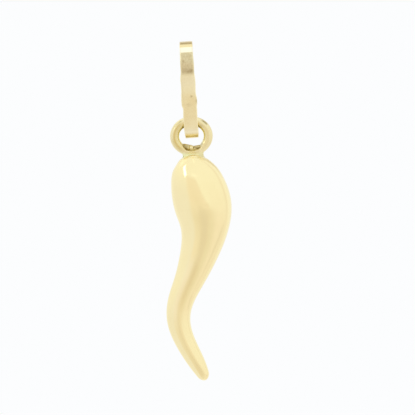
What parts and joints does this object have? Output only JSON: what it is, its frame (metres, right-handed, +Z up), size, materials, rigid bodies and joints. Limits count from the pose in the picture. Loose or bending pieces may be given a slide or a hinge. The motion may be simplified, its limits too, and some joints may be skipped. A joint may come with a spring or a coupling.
{
  "type": "cornicello horn pendant",
  "caption": "Polished gold cornicello pendant: an S-curved horn with a soldered wire ring that swings in a folded strip bail for a chain.",
  "frame": {"origin": "inner top of the bail, where a chain carries the hanging pendant", "axes": "+Z up along the hanging pendant, +X along the chain's way through the bail and to the right from the front, -Y to the front"},
  "size_m": [0.0068, 0.0048, 0.0323],
  "materials": {
    "bail_gold": "satin yellow gold with light wear",
    "horn_gold": "mirror-polished pale yellow gold"
  },
  "bodies": {
    "bail": {"bail": "bail_gold"},
    "horn": {"horn": "horn_gold"}
  },
  "joints": [
    {"name": "horn_swing", "type": "hinge", "parent": "bail", "child": "horn", "pos_m": [0, 0, -0.00726], "axis": [1, 0, 0], "range_deg": [-120, 120]}
  ]
}
